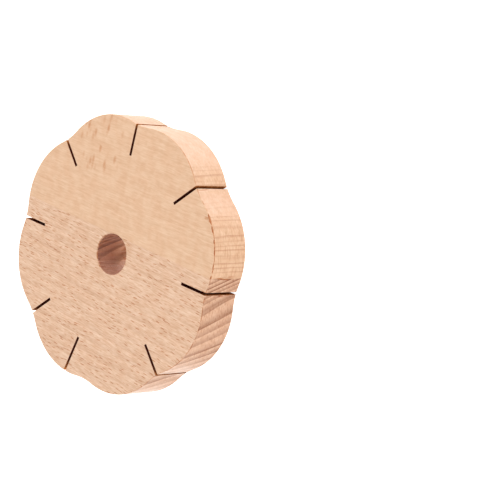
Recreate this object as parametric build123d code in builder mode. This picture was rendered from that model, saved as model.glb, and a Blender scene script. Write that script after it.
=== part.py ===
from build123d import *
from math import cos, radians, sin, sqrt
import os

# Braiding disc: two beech boards edge-glued, drilled, sawn round in eight lobes and slotted.
# The disc lies flat on its back face. The origin is the centre of the back face, on the
# axis of the centre hole, and +Z runs up that axis to the working face.

# Overall sizes, in millimetres and degrees
disc_diameter = 95.0    # across two opposite lobe tips
thickness = 15.0

# Flower outline
lobe_count = 8
lobe_radius = 25.5      # the round of each lobe
valley_radius = 22.0    # the hollow between two lobes
first_lobe_angle = 4.5  # the lobe nearest +X, turned towards +Y
edge_round = 0.3        # sanded edges of the two faces, round the outline

# Centre hole that the finished braid hangs through
bore_diameter = 14.0
bore_chamfer = 0.25     # taken off its edge on both faces

# Yarn slots, sawn in from the rim with a thin blade, one for each valley. They are cut by
# eye, so each one's line drifts a little, and the sixth missed its valley by far.
kerf = 1.0
slot_depth = 11.0       # from the bottom of the valley towards the hole
slot_drifts = [         # (degrees turned, sideways, deeper) from the true line, from +X round
    (0.5, 1.4, 0.4),
    (0.5, 1.3, -0.2),
    (0.0, 1.6, -0.6),
    (1.0, 0.2, -0.6),
    (0.0, 0.2, -0.4),
    (-13.0, 0.8, 1.1),
    (1.0, 0.1, 0.2),
    (1.0, 0.6, 0.2),
]

# Glue joint between the two boards, square to the faces
grain_angle = -18.0     # the direction of the boards' long edges, from +X
joint_offset = 6.8      # from the hole's axis to the joint, towards +Y

# Derived sizes
disc_radius = disc_diameter / 2
lobe_centre_radius = disc_radius - lobe_radius
lobe_pitch = 360 / lobe_count
half_pitch = radians(lobe_pitch / 2)
valley_centre_radius = lobe_centre_radius * cos(half_pitch) + sqrt(
    (lobe_radius + valley_radius) ** 2 - (lobe_centre_radius * sin(half_pitch)) ** 2
)
slot_bottom_radius = valley_centre_radius - valley_radius - slot_depth
saw_reach = disc_radius + kerf  # past the rim, so that each slot opens through it

joint_normal = (-sin(radians(grain_angle)), cos(radians(grain_angle)), 0)
glue_plane = Plane(origin=[joint_offset * c for c in joint_normal], z_dir=joint_normal)

os.makedirs("parts", exist_ok=True)

# The glued blank, shaped and drilled as one piece of wood
with BuildPart() as disc:
    with BuildSketch(Plane.XY) as outline:
        Circle(lobe_centre_radius)
        with PolarLocations(lobe_centre_radius, lobe_count, start_angle=first_lobe_angle):
            Circle(lobe_radius)
        fillet(outline.vertices(), valley_radius)
    extrude(amount=thickness)
    rim_edges = disc.edges().group_by(Axis.Z)
    fillet(rim_edges[0] + rim_edges[-1], edge_round)
    Hole(bore_diameter / 2)
    chamfer(disc.edges(Select.LAST).filter_by(GeomType.CIRCLE), bore_chamfer)

    # The slots are sawn last, right through the thickness, so their edges stay sharp
    with BuildSketch(Plane.XY):
        for index, (turn, sideways, deeper) in enumerate(slot_drifts):
            valley_angle = first_lobe_angle + (index + 0.5) * lobe_pitch
            bottom = slot_bottom_radius - deeper
            with Locations(Rotation(0, 0, valley_angle + turn)):
                with Locations(((bottom + saw_reach) / 2, sideways)):
                    Rectangle(saw_reach - bottom, kerf)
    extrude(amount=thickness, mode=Mode.SUBTRACT)

# The two boards meet face to face along the glue plane
with BuildPart() as upper_board:
    add(disc.part)
    split(bisect_by=glue_plane, keep=Keep.TOP)
upper_board.part.label = "upper_board"

with BuildPart() as lower_board:
    add(disc.part)
    split(bisect_by=glue_plane, keep=Keep.BOTTOM)
lower_board.part.label = "lower_board"

for board in (upper_board, lower_board):
    export_step(board.part, f"parts/{board.part.label}.step")
    size = board.part.bounding_box().size
    print(f"{board.part.label}: {size.X:.2f} x {size.Y:.2f} x {size.Z:.2f} mm, "
          f"{board.part.volume / 1000:.2f} cm3")
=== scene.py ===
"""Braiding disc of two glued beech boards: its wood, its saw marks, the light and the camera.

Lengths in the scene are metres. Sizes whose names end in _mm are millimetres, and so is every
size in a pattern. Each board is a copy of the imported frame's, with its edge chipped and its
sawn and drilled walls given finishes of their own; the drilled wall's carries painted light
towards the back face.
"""
import logging
import math
from dataclasses import dataclass, replace
from enum import Enum

import bpy
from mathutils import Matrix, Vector


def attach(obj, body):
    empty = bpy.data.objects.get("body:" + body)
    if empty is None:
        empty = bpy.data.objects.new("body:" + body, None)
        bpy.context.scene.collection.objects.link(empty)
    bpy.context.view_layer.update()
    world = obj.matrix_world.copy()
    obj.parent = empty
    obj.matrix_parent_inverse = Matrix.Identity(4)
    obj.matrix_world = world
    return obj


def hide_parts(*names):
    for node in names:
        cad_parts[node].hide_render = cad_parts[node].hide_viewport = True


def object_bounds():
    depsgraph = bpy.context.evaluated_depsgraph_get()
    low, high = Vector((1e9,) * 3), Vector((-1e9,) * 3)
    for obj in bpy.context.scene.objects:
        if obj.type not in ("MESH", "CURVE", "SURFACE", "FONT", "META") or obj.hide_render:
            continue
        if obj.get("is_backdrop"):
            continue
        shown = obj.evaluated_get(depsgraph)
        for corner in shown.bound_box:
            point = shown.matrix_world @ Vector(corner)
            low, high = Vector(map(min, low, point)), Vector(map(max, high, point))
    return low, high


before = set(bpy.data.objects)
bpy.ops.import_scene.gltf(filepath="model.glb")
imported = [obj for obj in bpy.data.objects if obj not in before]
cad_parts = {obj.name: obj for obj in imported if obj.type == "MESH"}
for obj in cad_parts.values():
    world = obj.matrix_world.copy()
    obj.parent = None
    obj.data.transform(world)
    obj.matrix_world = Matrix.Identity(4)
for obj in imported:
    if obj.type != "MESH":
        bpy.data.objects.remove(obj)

Socket = bpy.types.NodeSocket
Colour = tuple[float, float, float]
Triple = tuple[float, float, float]     # three sizes, turns or coordinates
Span = tuple[float, float]              # where something starts and where it is complete

MM = 1000.0                # millimetres in a metre
WHITE = (1.0, 1.0, 1.0, 1.0)
UNMOVED = (0.0, 0.0, 0.0)

BORE_MM = 7.0              # the centre hole's radius
BORE_SLACK_MM = 0.2        # how much further out its wall is still looked for
SAWN_MM = (32.0, 44.6)     # from the axis, where the walls of the slots lie
GLUE_MM = 6.8              # from the axis to the glue joint
GLUE_TURN = -18.0          # the joint's direction, from +X
GLUE_SLACK_MM = 0.05       # how near to the joint a face is part of it
UPRIGHT_RISE = 0.05        # an upright wall's normal rises by less than this
SEAM = 1e-6                # corners nearer to each other than this, in metres, are one
SMOOTH_BELOW = 14.0        # degrees between two faces that are shaded as one

log = logging.getLogger("braiding_disc")


class MathOp(Enum):
    """The sums that a pattern is worked out with."""

    ADD = "ADD"
    SUBTRACT = "SUBTRACT"
    MULTIPLY = "MULTIPLY"
    DIVIDE = "DIVIDE"
    FRACTION = "FRACT"
    ABSOLUTE = "ABSOLUTE"


class Blend(Enum):
    """How a tone is laid over the colour below it."""

    MIX = "MIX"
    MULTIPLY = "MULTIPLY"


class Wall(Enum):
    """The upright walls with a finish of their own, by how far from the axis they lie, in mm."""

    BORE = (0.0, BORE_MM + BORE_SLACK_MM)
    KERF = SAWN_MM


@dataclass(frozen=True)
class Layer:
    """One layer of noise: the size of its cells and how fine it is."""

    cell: Triple               # on the axes of the coordinates that it is given
    span: Span = (0.3, 0.7)    # the noise that shows as none of it, and as all of it
    detail: float = 2.0
    roughness: float = 0.5


@dataclass(frozen=True)
class Relief:
    """How strongly a height is felt in the light, and how high it is, in metres."""

    strength: float
    height: float


class Graph:
    """The node tree of one material, with a method for each kind of step that a pattern takes."""

    def __init__(self, material: bpy.types.Material) -> None:
        """Empties the material's tree.

        Args:
            material: the material to build in.
        """
        material.use_nodes = True
        self.tree = material.node_tree
        self.tree.nodes.clear()

    def node(self, kind: str, **settings: object) -> bpy.types.Node:
        """Adds a node.

        Args:
            kind: the node's type name.
            settings: its properties, by name.

        Returns:
            The new node.
        """
        made = self.tree.nodes.new(kind)
        for name, value in settings.items():
            setattr(made, name, value)
        return made

    def feed(self, socket: Socket, value: object) -> None:
        """Gives an input its value.

        Args:
            socket: the input.
            value: a constant, or another node's output, which is linked.
        """
        if isinstance(value, bpy.types.NodeSocket):
            self.tree.links.new(value, socket)
        else:
            socket.default_value = value

    def sum(self, op: MathOp, a: object, b: object = 0.0) -> Socket:
        """Works out one sum.

        Args:
            op: which sum.
            a: the first number or output.
            b: the second one, where the sum has two.

        Returns:
            The answer's output.
        """
        made = self.node("ShaderNodeMath", operation=op.value)
        self.feed(made.inputs[0], a)
        self.feed(made.inputs[1], b)
        return made.outputs[0]

    def plus(self, a: object, b: object) -> Socket:
        """Adds two numbers."""
        return self.sum(MathOp.ADD, a, b)

    def times(self, a: object, b: object) -> Socket:
        """Multiplies two numbers."""
        return self.sum(MathOp.MULTIPLY, a, b)

    def size(self, value: Socket) -> Socket:
        """Drops a number's sign."""
        return self.sum(MathOp.ABSOLUTE, value)

    def rest(self, value: Socket) -> Socket:
        """What is left of 1."""
        return self.sum(MathOp.SUBTRACT, 1.0, value)

    def place(self) -> Socket:
        """Object coordinates in millimetres, on the disc's own axes."""
        return self.turned(self.node("ShaderNodeTexCoord").outputs["Object"], UNMOVED, MM)

    def normal(self) -> Socket:
        """The way the surface points, on the disc's own axes."""
        return self.node("ShaderNodeTexCoord").outputs["Normal"]

    def turned(self, vector: Socket, degrees: Triple, scale: float = 1.0) -> Socket:
        """Turns and scales a set of coordinates about the origin.

        Args:
            vector: the coordinates.
            degrees: the turn about X, Y and Z.
            scale: what each of them is multiplied by first.

        Returns:
            The turned coordinates.
        """
        made = self.node("ShaderNodeMapping", vector_type="POINT")
        self.feed(made.inputs["Vector"], vector)
        made.inputs["Rotation"].default_value = [math.radians(angle) for angle in degrees]
        made.inputs["Scale"].default_value = (scale,) * 3
        return made.outputs[0]

    def stretched(self, vector: Socket, sizes: Triple, shift: Triple = UNMOVED) -> Socket:
        """Divides coordinates by a size along each axis, so that one unit is one cell.

        Args:
            vector: the coordinates.
            sizes: the cell's size on each of their axes.
            shift: moves the pattern, in cells.

        Returns:
            The coordinates in cells.
        """
        made = self.node("ShaderNodeMapping", vector_type="POINT")
        self.feed(made.inputs["Vector"], vector)
        made.inputs["Location"].default_value = shift
        made.inputs["Scale"].default_value = [1.0 / size for size in sizes]
        return made.outputs[0]

    def noise(self, vector: Socket, layer: Layer, shift: Triple = UNMOVED) -> Socket:
        """Makes smooth noise, from 0 to 1 and mostly near the middle.

        Args:
            vector: the coordinates.
            layer: its cells, and how fine it is.
            shift: moves it, in cells.

        Returns:
            The noise's output.
        """
        made = self.node("ShaderNodeTexNoise", noise_dimensions="3D")
        self.feed(made.inputs["Vector"], self.stretched(vector, layer.cell, shift))
        made.inputs["Scale"].default_value = 1.0
        made.inputs["Detail"].default_value = layer.detail
        made.inputs["Roughness"].default_value = layer.roughness
        return made.outputs["Fac"]

    def parts(self, vector: Socket) -> tuple[Socket, Socket, Socket]:
        """Splits coordinates into their three numbers.

        Args:
            vector: the coordinates.

        Returns:
            The three numbers' outputs.
        """
        made = self.node("ShaderNodeSeparateXYZ")
        self.feed(made.inputs[0], vector)
        return made.outputs[0], made.outputs[1], made.outputs[2]

    def joined(self, x: object, y: object, z: object) -> Socket:
        """Joins three numbers into coordinates.

        Args:
            x: the first number or output.
            y: the second one.
            z: the third one.

        Returns:
            The coordinates' output.
        """
        made = self.node("ShaderNodeCombineXYZ")
        for socket, value in zip(made.inputs, (x, y, z)):
            self.feed(socket, value)
        return made.outputs[0]

    def length(self, vector: Socket) -> Socket:
        """Measures how far from the origin a place is.

        Args:
            vector: the place's coordinates.

        Returns:
            The distance's output.
        """
        made = self.node("ShaderNodeVectorMath", operation="LENGTH")
        self.feed(made.inputs[0], vector)
        return made.outputs["Value"]

    def step(self, value: Socket, low: float, high: float) -> Socket:
        """Makes a smooth step from 0 at low to 1 at high, or down again where low is the larger.

        Args:
            value: what is stepped.
            low: the value that gives 0.
            high: the value that gives 1.

        Returns:
            The step's output, from 0 to 1.
        """
        made = self.node("ShaderNodeMapRange", interpolation_type="SMOOTHSTEP", clamp=True)
        falling = low > high
        self.feed(made.inputs["Value"], value)
        made.inputs["From Min"].default_value = min(low, high)
        made.inputs["From Max"].default_value = max(low, high)
        made.inputs["To Min"].default_value = 1.0 if falling else 0.0
        made.inputs["To Max"].default_value = 0.0 if falling else 1.0
        return made.outputs["Result"]

    def tone(self, below: object, over: object, amount: object, blend: Blend) -> Socket:
        """Lays one colour over another.

        Args:
            below: the colour underneath.
            over: the colour laid on it.
            amount: how much of it shows, from 0 to 1.
            blend: how the two are put together.

        Returns:
            The colour's output.
        """
        made = self.node("ShaderNodeMix", data_type="RGBA", blend_type=blend.value)
        self.feed(made.inputs[0], amount)
        for socket, value in ((made.inputs[6], below), (made.inputs[7], over)):
            self.feed(socket, (*value, 1.0) if isinstance(value, tuple) else value)
        return made.outputs[2]

    def mixed(self, none: object, full: object, amount: object) -> Socket:
        """Goes from one colour to another."""
        return self.tone(none, full, amount, Blend.MIX)

    def tinted(self, colour: Socket, tint: object, amount: object = 1.0) -> Socket:
        """Multiplies a colour by a tint."""
        return self.tone(colour, tint, amount, Blend.MULTIPLY)

    def surface(self, colour: Socket, height: Socket, relief: Relief,
                roughness: object, specular: float) -> None:
        """Ends the tree in a surface.

        Args:
            colour: the surface's colour.
            height: what stands up from it, from 0 to 1.
            relief: how much that is felt.
            roughness: how dull it is, from 0 to 1.
            specular: how strongly it mirrors.
        """
        bump = self.node("ShaderNodeBump")
        bump.inputs["Strength"].default_value = relief.strength
        bump.inputs["Distance"].default_value = relief.height
        self.feed(bump.inputs["Height"], height)
        shader = self.node("ShaderNodeBsdfPrincipled")
        self.feed(shader.inputs["Base Color"], colour)
        self.feed(shader.inputs["Normal"], bump.outputs[0])
        self.feed(shader.inputs["Roughness"], roughness)
        shader.inputs["Specular IOR Level"].default_value = specular
        output = self.node("ShaderNodeOutputMaterial")
        self.feed(output.inputs["Surface"], shader.outputs[0])


@dataclass(frozen=True)
class Beech:
    """Bare sanded beech as solid wood: growth rings, fibres and rays run right through the board.

    The pattern's own axes are along the grain, through the rings, and across both. A cell's
    three sizes are given in that order.
    """

    name: str
    seed: float
    grain_turn: float          # the grain's direction in the plane of the faces, from +X
    ring_tilt: float           # how far the rings lean over from square to the faces

    early: Colour              # the pale wood of a ring
    late: Colour               # its dark edge
    late_start: float          # where in a ring the dark edge starts
    ring_pitch: float          # between two rings, and below zero where the heart is towards +Y
    ring_drift: float          # how unevenly they are spaced
    faintest_ring: float       # how strong the weakest of them is, beside the strongest

    end_tint: Colour           # end grain, darker than a face
    side_sheen_tint: Colour          # planed side grain round the rim, with a painted sheen that turns it greyer
    end_ray_tint: Colour       # the rays in the end grain

    late_full: float = 0.93    # where in a ring its dark edge is darkest
    late_end: Span = (1.0, 0.95)        # and where it stops short
    ring_bow: float = 900.0    # the rings' radius, so how far away the tree's heart is
    ring_shift: float = 2.0    # moves the places where they are close
    ring_wave: Layer = Layer((160.0, 9.0, 200.0))
    ring_ripple: Layer = Layer((25.0, 4.0, 14.0))
    ripple: float = 0.5        # how far a ripple moves a ring
    ring_strength: Layer = Layer((60.0, 1.9, 60.0), (0.35, 0.65))
    crowd_rings: float = 0.0   # more rings than the pitch gives, where the tree grew slowly
    crowd: Span = (4.0, 13.0)  # where through the board that is
    ring_show: float = 0.15    # how far the rings show on a face
    end_ring_show: float = 0.9

    fibres: Layer = Layer((3.0, 0.38, 0.38), (0.28, 0.72), roughness=0.6)
    fibre_dark: Colour = (0.86, 0.80, 0.73)
    fibre_light: Colour = (1.06, 1.10, 1.14)
    streaks: Layer = Layer((15.0, 0.9, 0.9))
    streak_dark: Colour = (0.96, 0.94, 0.915)
    streak_light: Colour = (1.03, 1.04, 1.05)
    mottle: Layer = Layer((3.5, 4.5, 3.5), detail=1.0)
    mottle_dark: Colour = (0.98, 0.95, 0.92)
    mottle_light: Colour = (1.02, 1.04, 1.05)

    end_rays: Layer = Layer((1.0, 1.7, 0.32), (0.48, 0.68), roughness=0.6)
    ray_tint: Colour = (0.68, 0.43, 0.28)
    ray_cell: Triple = (2.6, 6.0, 0.42)
    ray_half: Triple = (1.2, 2.8, 0.058)
    ray_blur: float = 0.3      # how much of a ray is its soft edge
    ray_wander: Layer = Layer((12.0, 12.0, 5.0))
    ray_chance: Span = (0.05, 0.7)      # how uneven in strength the rays are
    fleck_patch: Triple | None = None   # where the rays lie in the face and show as flecks
    fleck_reach: float = 9.0
    fleck_core: float = 0.6    # how much of that reach is full of them
    fleck_left: float = 0.12   # how strongly the others show

    end_cut: Span = (0.52, 0.96)        # how squarely end grain cuts the fibres
    upright: Span = (0.6, 0.2)          # how level a surface is that counts as the rim
    worn_tint: Colour = (0.70, 0.42, 0.24)
    worn_patches: Layer = Layer((2.2, 2.2, 2.2), (0.36, 0.62))
    worn_cut: Span = (0.2, 0.5)
    worn_rise: Span = (0.1, 0.35)       # from the rim on to the rounded edge
    worn_fall: Span = (0.94, 0.8)       # and off it on to the face
    lit_foot_tint: Colour | None = None     # towards the back face, where it differs: painted light that pales and greys the wall there
    lit_foot: Span = (9.0, 0.5)    # the heights above the back face that the painted light starts and ends at

    relief: Relief = Relief(0.3, 0.00006)
    fibre_height: float = 0.6  # beside a ray's depth
    roughness: float = 0.52
    fibre_dull: Span = (0.3, 0.8)
    fibre_dulling: float = 0.15
    specular: float = 0.35

    def drilled(self, name: str) -> "Beech":
        """Turns the wood into the wall of a hole that a drill has burnished.

        Args:
            name: what the finish is called.

        Returns:
            The darker, shinier wood, with painted light that pales and greys it towards the back
            face.
        """
        # the foot tint is painted light: the wall paler and greyer towards the back face
        return replace(self, name=name, early=(0.60, 0.285, 0.17), late=(0.27, 0.10, 0.045),
                       end_ray_tint=(0.9, 0.84, 0.8), lit_foot_tint=(1.62, 2.3, 2.7),
                       roughness=0.3, specular=0.2)

    def torn(self, name: str) -> "Beech":
        """Turns the wood into the raw, darker wood under a splinter."""
        return replace(self, name=name, early=(0.52, 0.24, 0.11), late=(0.42, 0.18, 0.08))

    def axes(self, graph: Graph, place: Socket) -> Socket:
        """Moves a place on to the wood's axes.

        Args:
            graph: the material's tree.
            place: the place on the disc's axes, in millimetres.

        Returns:
            The same place along the grain, through the rings and across them.
        """
        flat = graph.turned(place, (0.0, 0.0, -self.grain_turn))
        return graph.turned(flat, (-self.ring_tilt, 0.0, 0.0))

    def cut(self, graph: Graph) -> Socket:
        """Works out how squarely the surface cuts the fibres.

        Args:
            graph: the material's tree.

        Returns:
            The cut, from 0 along the fibres to 1 straight across them.
        """
        turned = graph.turned(graph.normal(), (0.0, 0.0, -self.grain_turn))
        return graph.size(graph.parts(turned)[0])

    def lean(self, graph: Graph) -> Socket:
        """How level the surface is, from 0 on an upright wall to 1 on a face."""
        return graph.size(graph.parts(graph.normal())[2])

    def rings(self, graph: Graph, wood: Socket) -> Socket:
        """Works out the growth rings.

        Args:
            graph: the material's tree.
            wood: the place on the wood's axes.

        Returns:
            The ring, 0 in the early wood and rising to 1 at its dark edge.
        """
        _, through, across = graph.parts(wood)
        wave = graph.noise(wood, self.ring_wave, (self.seed, self.ring_shift, 7.0))
        ripple = graph.noise(wood, self.ring_ripple, (4.0, self.seed, 1.0))
        bow = graph.sum(MathOp.DIVIDE, graph.times(across, across), 2 * self.ring_bow)
        place = graph.plus(through, bow)
        place = graph.plus(place, graph.times(wave, 4 * self.ring_drift))
        place = graph.plus(place, graph.times(ripple, self.ripple))
        if self.crowd_rings:
            more = self.crowd_rings * abs(self.ring_pitch)
            place = graph.plus(place, graph.times(graph.step(through, *self.crowd), more))
        turn = graph.sum(MathOp.FRACTION, graph.sum(MathOp.DIVIDE, place, self.ring_pitch))
        rise = graph.step(turn, self.late_start, self.late_full)
        edge = graph.times(rise, graph.step(turn, *self.late_end))
        strength = graph.noise(wood, self.ring_strength, (self.seed, 8.0, 3.0))
        strength = graph.step(strength, *self.ring_strength.span)
        strength = graph.times(strength, 1.0 - self.faintest_ring)
        return graph.times(edge, graph.plus(strength, self.faintest_ring))

    def rays(self, graph: Graph, wood: Socket) -> Socket:
        """Works out the rays: ribbons, long through the rings, that show as dashes on a face.

        Args:
            graph: the material's tree.
            wood: the place on the wood's axes.

        Returns:
            The ray, from 0 outside it to at most 1 inside.
        """
        wander = graph.noise(wood, self.ray_wander, (9.0, 3.0, self.seed))
        along, through, across = graph.parts(wood)
        wavy = graph.joined(along, through, graph.plus(across, wander))
        cells = graph.stretched(wavy, self.ray_cell, (self.seed, 0.0, 0.0))
        nearest = graph.node("ShaderNodeTexVoronoi", voronoi_dimensions="3D", feature="F1")
        graph.feed(nearest.inputs["Vector"], cells)
        nearest.inputs["Scale"].default_value = 1.0
        offset = graph.node("ShaderNodeVectorMath", operation="SUBTRACT")
        graph.feed(offset.inputs[0], cells)
        graph.feed(offset.inputs[1], nearest.outputs["Position"])
        halves = tuple(half / cell for half, cell in zip(self.ray_half, self.ray_cell))
        reach = graph.length(graph.stretched(offset.outputs[0], halves))
        body = graph.step(reach, 1.0, 1.0 - self.ray_blur)
        chance = graph.parts(nearest.outputs["Color"])[0]
        return graph.times(body, graph.step(chance, *self.ray_chance))

    def flecks(self, graph: Graph, place: Socket) -> Socket:
        """Works out how strongly the rays show as flecks.

        Args:
            graph: the material's tree.
            place: the place on the disc's axes, in millimetres.

        Returns:
            The strength, from 1 in the middle of their patch to hardly any away from it.
        """
        offset = graph.node("ShaderNodeVectorMath", operation="DISTANCE")
        graph.feed(offset.inputs[0], place)
        offset.inputs[1].default_value = self.fleck_patch
        core = self.fleck_core * self.fleck_reach
        near = graph.step(offset.outputs["Value"], self.fleck_reach, core)
        return graph.plus(graph.times(near, 1.0 - self.fleck_left), self.fleck_left)

    def worn_edge(self, graph: Graph, place: Socket, cut: Socket) -> Socket:
        """Works out where end grain has caught dirt on the rounded edge of a face.

        Args:
            graph: the material's tree.
            place: the place on the disc's axes, in millimetres.
            cut: how squarely the surface cuts the fibres.

        Returns:
            The dirt, from 0 to 1.
        """
        lean = self.lean(graph)
        slant = graph.times(graph.step(lean, *self.worn_rise), graph.step(lean, *self.worn_fall))
        patches = graph.noise(place, self.worn_patches, (self.seed, 5.0, 2.0))
        patches = graph.step(patches, *self.worn_patches.span)
        return graph.times(slant, graph.times(graph.step(cut, *self.worn_cut), patches))

    def ring_colour(self, graph: Graph, wood: Socket, end: Socket) -> Socket:
        """Colours the growth rings, which show more in end grain than on a face.

        Args:
            graph: the material's tree.
            wood: the place on the wood's axes.
            end: how much of the surface is end grain.

        Returns:
            The colour.
        """
        gain = graph.plus(graph.times(end, self.end_ring_show - self.ring_show), self.ring_show)
        return graph.mixed(self.early, self.late, graph.times(self.rings(graph, wood), gain))

    def walled(self, graph: Graph, colour: Socket, end: Socket, face: Socket) -> Socket:
        """Tints the end grain, and the side grain round the rim with its own tone and a painted
        sheen.

        Args:
            graph: the material's tree.
            colour: the colour so far.
            end: how much of the surface is end grain.
            face: how much of it isn't.

        Returns:
            The colour.
        """
        colour = graph.tinted(colour, self.end_tint, end)
        # painted sheen: the side grain round the rim is tinted greyer, and on the rift-sawn board
        # paler
        side = graph.times(graph.step(self.lean(graph), *self.upright), face)
        return graph.tinted(colour, self.side_sheen_tint, side)

    def grained(self, graph: Graph, colour: Socket, wood: Socket, fibres: Socket,
                face: Socket) -> Socket:
        """Lays fibres, streaks and mottle over the colour.

        Args:
            graph: the material's tree.
            colour: the colour so far.
            wood: the place on the wood's axes.
            fibres: the fibres' noise.
            face: how much of the surface isn't end grain.

        Returns:
            The colour.
        """
        amount = graph.step(fibres, *self.fibres.span)
        colour = graph.tinted(
            colour, graph.mixed(self.fibre_dark, self.fibre_light, amount), face)
        streaks = graph.noise(wood, self.streaks, (1.0, self.seed, 3.0))
        amount = graph.step(streaks, *self.streaks.span)
        colour = graph.tinted(colour, graph.mixed(self.streak_dark, self.streak_light, amount))
        mottle = graph.noise(wood, self.mottle, (6.0, self.seed, 2.0))
        amount = graph.step(mottle, *self.mottle.span)
        return graph.tinted(colour, graph.mixed(self.mottle_dark, self.mottle_light, amount))

    def material(self) -> bpy.types.Material:
        """Builds the finish.

        Returns:
            The material, patterned on object coordinates.
        """
        made = bpy.data.materials.new(self.name)
        graph = Graph(made)
        place = graph.place()
        wood = self.axes(graph, place)
        cut = self.cut(graph)
        end = graph.step(cut, *self.end_cut)
        face = graph.rest(end)
        fibres = graph.noise(wood, self.fibres)
        rays = self.rays(graph, wood)
        if self.fleck_patch:
            rays = graph.times(rays, self.flecks(graph, place))
        rays = graph.times(rays, face)

        colour = self.ring_colour(graph, wood, end)
        colour = self.walled(graph, colour, end, face)
        colour = self.grained(graph, colour, wood, fibres, face)
        end_rays = graph.noise(wood, self.end_rays, (3.0, 1.0, self.seed))
        end_rays = graph.times(graph.step(end_rays, *self.end_rays.span), end)
        colour = graph.tinted(colour, self.end_ray_tint, end_rays)
        colour = graph.tinted(colour, self.ray_tint, rays)
        colour = graph.tinted(colour, self.worn_tint, self.worn_edge(graph, place, cut))
        # painted light: the bore's wall made paler and greyer towards the back face, as if lit
        # through the hole
        if self.lit_foot_tint:
            lit_foot = graph.step(graph.parts(place)[2], *self.lit_foot)
            colour = graph.tinted(colour, self.lit_foot_tint, lit_foot)

        height = graph.sum(MathOp.SUBTRACT, graph.times(fibres, self.fibre_height), rays)
        dull = graph.times(graph.step(fibres, *self.fibre_dull), self.fibre_dulling)
        graph.surface(colour, height, self.relief, graph.plus(dull, self.roughness), self.specular)
        return made


@dataclass(frozen=True)
class Scorch:
    """Walls burnt by a fine saw: nearly black at the bottom of the cut and tan at its mouth."""

    name: str = "scorched_kerf"
    burnt: Colour = (0.105, 0.016, 0.008)
    mouth: Colour = (0.62, 0.25, 0.075)
    fade: Span = (42.5, 49.0)  # from the axis, where the black starts to fade and has gone
    fade_wander: float = 2.5   # how far the saw marks move that
    saw_marks: Layer = Layer((1.2, 1.2, 0.35), detail=3.0, roughness=0.6)
    mark_dark: Colour = (0.72, 0.66, 0.62)
    mark_light: Colour = (1.15, 1.15, 1.15)
    relief: Relief = Relief(0.4, 0.00008)
    roughness: float = 0.9
    specular: float = 0.0

    def material(self) -> bpy.types.Material:
        """Builds the finish.

        Returns:
            The material, patterned on object coordinates.
        """
        made = bpy.data.materials.new(self.name)
        graph = Graph(made)
        place = graph.place()
        x, y, _ = graph.parts(place)
        marks = graph.noise(place, self.saw_marks)
        reach = graph.length(graph.joined(x, y, 0.0))
        reach = graph.plus(reach, graph.times(marks, self.fade_wander))
        colour = graph.mixed(self.burnt, self.mouth, graph.step(reach, *self.fade))
        amount = graph.step(marks, *self.saw_marks.span)
        colour = graph.tinted(colour, graph.mixed(self.mark_dark, self.mark_light, amount))
        graph.surface(colour, marks, self.relief, self.roughness, self.specular)
        return made


def pick(piece: bpy.types.Object) -> None:
    """Selects one piece alone and makes it the active one.

    Args:
        piece: the piece.
    """
    bpy.ops.object.select_all(action="DESELECT")
    piece.select_set(True)
    bpy.context.view_layer.objects.active = piece


@dataclass(frozen=True)
class Chip:
    """A splinter torn out of a face's edge, on the round of one lobe."""

    lobe_turn: float           # round the lobe's own centre, from +X
    length_mm: float           # along the edge
    depth_mm: float = 0.42     # in from the rim
    flatness: float = 0.8      # how deep it goes down from the face, beside that


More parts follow.
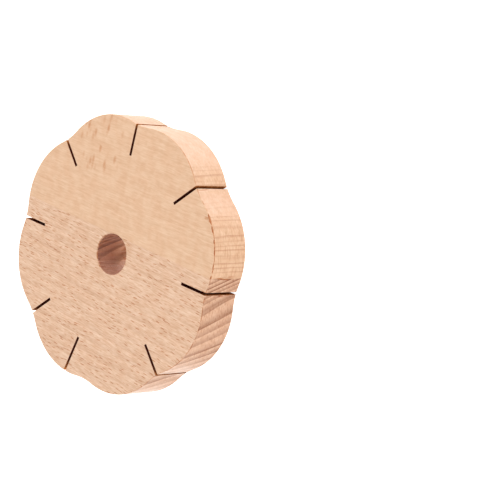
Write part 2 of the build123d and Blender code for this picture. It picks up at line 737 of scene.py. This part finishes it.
@dataclass
class Board:
    """One beech board of the blank: a copy of the frame's, chipped and dressed."""

    node: str
    wood: Beech
    bore: Beech
    kerf: Scorch = Scorch()
    torn: Beech | None = None  # the wood under its chips, where it has any
    chips: tuple[Chip, ...] = ()
    lobe_centre_mm: tuple[float, float] = (21.93, 1.72)
    lobe_radius_mm: float = 25.5
    face_mm: float = 15.0

    def copy(self) -> bpy.types.Object:
        """Copies the frame's board and closes its seams.

        Returns:
            The copy, at the origin.
        """
        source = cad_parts[self.node]
        mesh = source.data.copy()
        mesh.transform(source.matrix_world)
        board = bpy.data.objects.new(f"{self.node}_wood", mesh)
        bpy.context.collection.objects.link(board)
        pick(board)
        bpy.ops.object.mode_set(mode="EDIT")
        bpy.ops.mesh.select_all(action="SELECT")
        bpy.ops.mesh.remove_doubles(threshold=SEAM)
        bpy.ops.object.mode_set(mode="OBJECT")
        return board

    def cutter(self, chip: Chip, paint: bpy.types.Material) -> bpy.types.Object:
        """Makes the rounded shape that one splinter is torn out with.

        Args:
            chip: the splinter.
            paint: the finish that it leaves behind.

        Returns:
            The shape, on the edge of the working face.
        """
        turn = math.radians(chip.lobe_turn)
        x_mm = self.lobe_centre_mm[0] + self.lobe_radius_mm * math.cos(turn)
        y_mm = self.lobe_centre_mm[1] + self.lobe_radius_mm * math.sin(turn)
        half_mm = (chip.depth_mm, chip.length_mm / 2, chip.flatness * chip.depth_mm)
        bpy.ops.mesh.primitive_ico_sphere_add(
            subdivisions=2, radius=1.0, location=(x_mm / MM, y_mm / MM, self.face_mm / MM),
            rotation=(0.0, 0.0, turn), scale=[half / MM for half in half_mm])
        shape = bpy.context.active_object
        shape.data.materials.append(paint)
        return shape

    def chip(self, board: bpy.types.Object, paint: bpy.types.Material) -> None:
        """Tears the splinters out of the working face's edge.

        Args:
            board: the board.
            paint: the finish that they leave behind.
        """
        bpy.ops.object.select_all(action="DESELECT")
        cutters = [self.cutter(chip, paint) for chip in self.chips]
        for cutter in cutters:
            cutter.select_set(True)
        bpy.context.view_layer.objects.active = cutters[0]
        bpy.ops.object.join()
        tool = bpy.context.active_object
        pick(board)
        cut = board.modifiers.new("torn_out", "BOOLEAN")
        cut.operation = "DIFFERENCE"
        cut.solver = "EXACT"
        cut.use_self = True
        cut.material_mode = "TRANSFER"
        cut.object = tool
        bpy.ops.object.modifier_apply(modifier=cut.name)
        bpy.data.objects.remove(tool)

    def paint(self, board: bpy.types.Object, slot: int, wall: Wall) -> None:
        """Gives a wall's faces one of the board's material slots.

        Args:
            board: the board.
            slot: the slot's number.
            wall: which wall.
        """
        turn = math.radians(GLUE_TURN)
        joint = Vector((-math.sin(turn), math.cos(turn), 0.0))
        near, far = wall.value
        for face in board.data.polygons:
            centre = face.center * MM
            radius = math.hypot(centre.x, centre.y)
            upright = abs(face.normal.z) < UPRIGHT_RISE
            glued = abs(centre.dot(joint) - GLUE_MM) < GLUE_SLACK_MM
            face.select = upright and not glued and near < radius < far
        for vertex in board.data.vertices:
            vertex.select = False
        for edge in board.data.edges:
            edge.select = False
        pick(board)
        board.active_material_index = slot
        bpy.ops.object.mode_set(mode="EDIT")
        bpy.ops.mesh.select_mode(type="FACE")
        bpy.ops.object.material_slot_assign()
        bpy.ops.object.mode_set(mode="OBJECT")

    def build(self) -> bpy.types.Object:
        """Makes the board and puts its finishes on.

        Returns:
            The finished board.
        """
        board = self.copy()
        board.data.materials.clear()
        walls = {Wall.KERF: self.kerf, Wall.BORE: self.bore}
        for finish in (self.wood, *walls.values()):
            board.data.materials.append(finish.material())
        if self.torn:
            paint = self.torn.material()
            board.data.materials.append(paint)
            self.chip(board, paint)
        for slot, wall in enumerate(walls, start=1):
            self.paint(board, slot, wall)
        pick(board)
        bpy.ops.object.shade_smooth_by_angle(angle=math.radians(SMOOTH_BELOW))
        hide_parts(self.node)
        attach(board, "root")
        return board


@dataclass(frozen=True)
class SoftBox:
    """One square soft box, turned to the disc."""

    name: str
    place: Triple
    watts: float
    width: float = 0.5

    def hang(self) -> bpy.types.Object:
        """Hangs the soft box.

        Returns:
            The light.
        """
        light = bpy.data.lights.new(self.name, "AREA")
        light.shape = "SQUARE"
        light.size = self.width
        light.energy = self.watts
        made = bpy.data.objects.new(self.name, light)
        bpy.context.collection.objects.link(made)
        made.location = self.place
        made.rotation_euler = (-Vector(self.place)).to_track_quat("-Z", "Y").to_euler()
        return made


@dataclass
class Studio:
    """A light table in a white tent: the floor the disc lies on, and the light from all round."""

    floor_width: float = 6.0
    floor_white: Colour = (0.9, 0.9, 0.9)
    floor_roughness: float = 0.9
    table_glow: float = 0.78
    tent_glow: float = 1.2
    boxes: tuple[SoftBox, ...] = (SoftBox("key", (0.10, 0.85, 0.30), 1.64),
                                  SoftBox("fill", (0.10, -0.85, 0.30), 0.4))

    def floor(self) -> bpy.types.Object:
        """Makes the light table, level with the disc's lowest point.

        Returns:
            The table's top.
        """
        low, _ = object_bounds()
        bpy.ops.object.select_all(action="DESELECT")
        bpy.ops.mesh.primitive_plane_add(size=self.floor_width, location=(0.0, 0.0, low.z))
        floor = bpy.context.active_object
        floor.name = "floor"
        paint = bpy.data.materials.new("white_floor")
        graph = Graph(paint)
        shader = graph.node("ShaderNodeBsdfPrincipled")
        shader.inputs["Base Color"].default_value = (*self.floor_white, 1.0)
        shader.inputs["Roughness"].default_value = self.floor_roughness
        shader.inputs["Emission Color"].default_value = WHITE
        shader.inputs["Emission Strength"].default_value = self.table_glow
        output = graph.node("ShaderNodeOutputMaterial")
        graph.feed(output.inputs["Surface"], shader.outputs[0])
        floor.data.materials.append(paint)
        floor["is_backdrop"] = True
        return floor

    def tent(self) -> None:
        """Fills the room with even white light."""
        world = bpy.data.worlds.new("white_tent")
        bpy.context.scene.world = world
        world.use_nodes = True
        background = world.node_tree.nodes["Background"]
        background.inputs["Color"].default_value = WHITE
        background.inputs["Strength"].default_value = self.tent_glow

    def build(self) -> None:
        """Sets up the table, the tent and the soft boxes."""
        self.floor()
        self.tent()
        for box in self.boxes:
            box.hang()


@dataclass(frozen=True)
class Viewpoint:
    """The camera: well back, with a long lens, looking down at the face from its right side."""

    place: Triple = (0.4478, 0.0087, 0.4502)
    turn: Triple = (-0.67, 41.515, 0.0)
    lens: float = 132.65
    sensor: float = 36.0       # its width, in the same millimetres as the lens

    def shoot(self) -> bpy.types.Object:
        """Sets the camera up and makes it the scene's own.

        Returns:
            The camera.
        """
        data = bpy.data.cameras.new("camera")
        data.sensor_width = self.sensor
        data.lens = self.lens
        camera = bpy.data.objects.new("camera", data)
        bpy.context.collection.objects.link(camera)
        camera.location = self.place
        camera.rotation_euler = [math.radians(angle) for angle in self.turn]
        bpy.context.scene.camera = camera
        return camera


QUARTER_SAWN = Beech(
    "beech_quarter_sawn", seed=5.0, grain_turn=-17.0, ring_tilt=1.5,
    early=(0.655, 0.425, 0.275), late=(0.47, 0.25, 0.14), late_start=0.5,
    ring_pitch=1.5, ring_drift=2.0, faintest_ring=0.1, ring_show=0.06,
    end_tint=(0.86, 0.84, 0.82), side_sheen_tint=(0.94, 0.95, 1.05), end_ray_tint=(0.80, 0.70, 0.60),
    end_rays=replace(Beech.end_rays, cell=(1.0, 6.0, 0.30)),
    fibre_dark=(0.93, 0.90, 0.865), fibre_light=(1.035, 1.05, 1.07),
    ray_tint=(0.80, 0.62, 0.49), ray_cell=(1.9, 4.6, 0.9), ray_half=(0.95, 2.3, 0.5),
    ray_blur=0.9, fleck_patch=(-6.0, 38.8, 15.0), fleck_reach=14.0)

RIFT_SAWN = Beech(
    "beech_rift_sawn", seed=2.0, grain_turn=-20.0, ring_tilt=21.0,
    early=(0.675, 0.445, 0.307), late=(0.29, 0.125, 0.055), late_start=0.05,
    ring_pitch=-3.6, ring_drift=1.2, ring_shift=4.7, crowd_rings=2.5, faintest_ring=0.5,
    # the side tint here is a painted sheen that pales and greys the rim
    end_ring_show=1.0, end_tint=(0.81, 0.74, 0.70), side_sheen_tint=(0.97, 1.09, 1.30),
    end_ray_tint=(0.76, 0.66, 0.57))

# Round the lobe that points to +X, from its upper end to its lower.
CHIPS = (Chip(22.8, 4.2, 0.55), Chip(14.7, 3.0, 0.5), Chip(5.8, 1.8), Chip(1.1, 1.2, 0.25),
         Chip(-2.1, 2.0, 0.38), Chip(-12.3, 1.8, 0.38), Chip(-16.2, 0.9, 0.25), Chip(-20.5, 1.6))

BOARDS = (
    Board("upper_board", QUARTER_SAWN, QUARTER_SAWN.drilled("bored_quarter_sawn"),
          torn=QUARTER_SAWN.torn("torn_beech"), chips=CHIPS),
    Board("lower_board", RIFT_SAWN, RIFT_SAWN.drilled("bored_rift_sawn")),
)


def main() -> None:
    """Builds the scene in order and reports each piece."""
    logging.basicConfig(level=logging.INFO, format="%(name)s: %(message)s")
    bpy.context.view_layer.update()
    bpy.context.scene.view_settings.view_transform = "Standard"

    for board in BOARDS:
        piece = board.build()
        log.info("%s: %d faces, %s", piece.name, len(piece.data.polygons), board.wood.name)
    Studio().build()
    Viewpoint().shoot()


if __name__ == "__main__":
    main()
